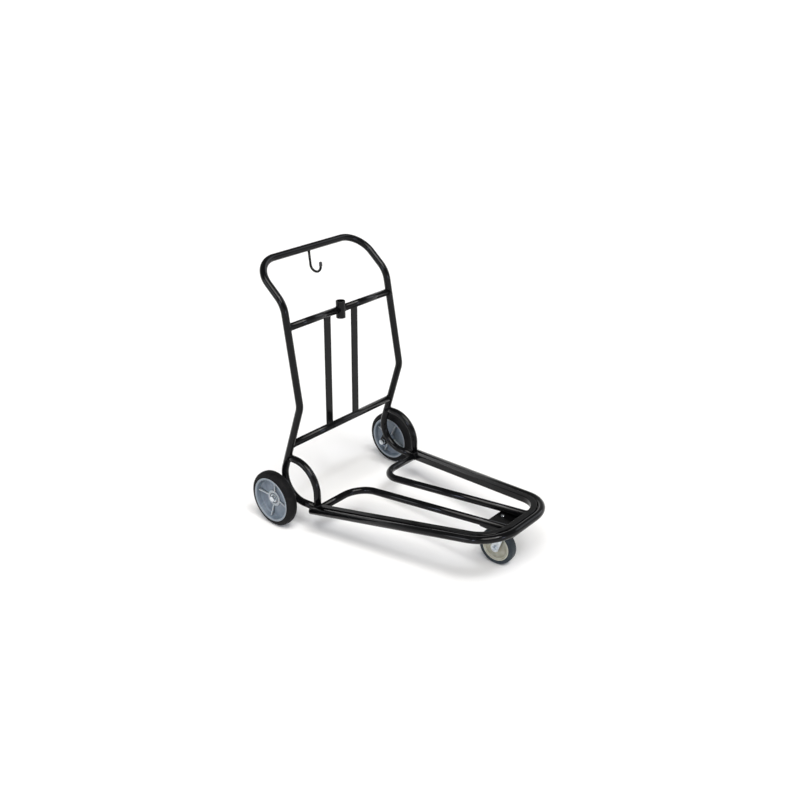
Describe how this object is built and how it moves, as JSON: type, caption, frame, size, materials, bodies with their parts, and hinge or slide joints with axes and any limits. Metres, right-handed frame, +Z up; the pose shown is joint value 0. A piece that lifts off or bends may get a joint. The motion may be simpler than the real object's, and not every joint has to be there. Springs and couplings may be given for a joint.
{
  "type": "nesting luggage trolley",
  "caption": "Bent-tube trolley on wheels with a sloping open deck, raised handle, post socket, hanger hook, fixed rear wheels and a swivel front caster.",
  "frame": {"origin": "centre of the overall box, on the floor that all the wheels stand on", "axes": "+Z up; -Y is the deck and caster end, +Y is the pusher's side; +X is the pusher's left"},
  "size_m": [0.6718, 0.981, 0.9404],
  "materials": {
    "black_powder_coat": "gloss black powder coat on steel tube",
    "black_plastic": "black moulded plastic",
    "black_rubber": "black semi-pneumatic rubber tyre",
    "grey_plastic": "blue-grey moulded plastic",
    "beige_plastic": "beige moulded plastic",
    "slate_rubber": "slate grey non-marking rubber tread",
    "zinc_steel": "bright zinc plated steel"
  },
  "bodies": {
    "frame": {"back_frame_tube": "black_powder_coat", "upper_crossbar_left": "black_powder_coat", "upper_crossbar_right": "black_powder_coat", "lower_crossbar": "black_powder_coat", "back_bar_left": "black_powder_coat", "back_bar_right": "black_powder_coat", "accessory_socket": "black_powder_coat", "garment_hook": "black_powder_coat", "hook_tip_cap": "black_plastic", "brace_left": "black_powder_coat", "brace_right": "black_powder_coat", "deck_rail_outer": "black_powder_coat", "deck_rail_inner": "black_powder_coat", "rail_end_plugs": "black_plastic", "deck_tube_left": "black_powder_coat", "deck_tube_right": "black_powder_coat", "axle_lug_left": "black_powder_coat", "axle_lug_right": "black_powder_coat", "axle_bolt_left": "zinc_steel", "axle_bolt_right": "zinc_steel", "axle_nut_left": "zinc_steel", "axle_nut_right": "zinc_steel", "axle_washers_left": "zinc_steel", "axle_washers_right": "zinc_steel", "axle_spacer_left": "zinc_steel", "axle_spacer_right": "zinc_steel", "caster_mount_plate": "black_powder_coat", "caster_top_plate": "zinc_steel", "caster_kingpin": "zinc_steel", "plate_bolts": "zinc_steel", "plate_nuts": "zinc_steel"},
    "wheel_left": {"tyre_left": "black_rubber", "hub_left": "grey_plastic", "wheel_bushing_left": "zinc_steel"},
    "wheel_right": {"tyre_right": "black_rubber", "hub_right": "grey_plastic", "wheel_bushing_right": "zinc_steel"},
    "caster_swivel": {"caster_fork": "zinc_steel", "swivel_balls": "zinc_steel", "caster_axle_sleeve": "zinc_steel", "caster_axle_bolt": "zinc_steel", "caster_axle_nut": "zinc_steel"},
    "caster_wheel": {"caster_wheel_core": "beige_plastic", "caster_tread": "slate_rubber"}
  },
  "joints": [
    {"name": "wheel_left_spin", "type": "hinge", "parent": "frame", "child": "wheel_left", "pos_m": [0.3144, 0.3684, 0.1016], "axis": [1, 0, 0], "continuous": true},
    {"name": "wheel_right_spin", "type": "hinge", "parent": "frame", "child": "wheel_right", "pos_m": [-0.3144, 0.3684, 0.1016], "axis": [1, 0, 0], "continuous": true},
    {"name": "caster_swivel_turn", "type": "hinge", "parent": "frame", "child": "caster_swivel", "pos_m": [0, -0.408, 0.139], "axis": [0, 0, 1], "continuous": true},
    {"name": "caster_wheel_spin", "type": "hinge", "parent": "caster_swivel", "child": "caster_wheel", "pos_m": [-0.00259, -0.3751, 0.0635], "axis": [0.9969, 0.0785, 0], "continuous": true}
  ]
}
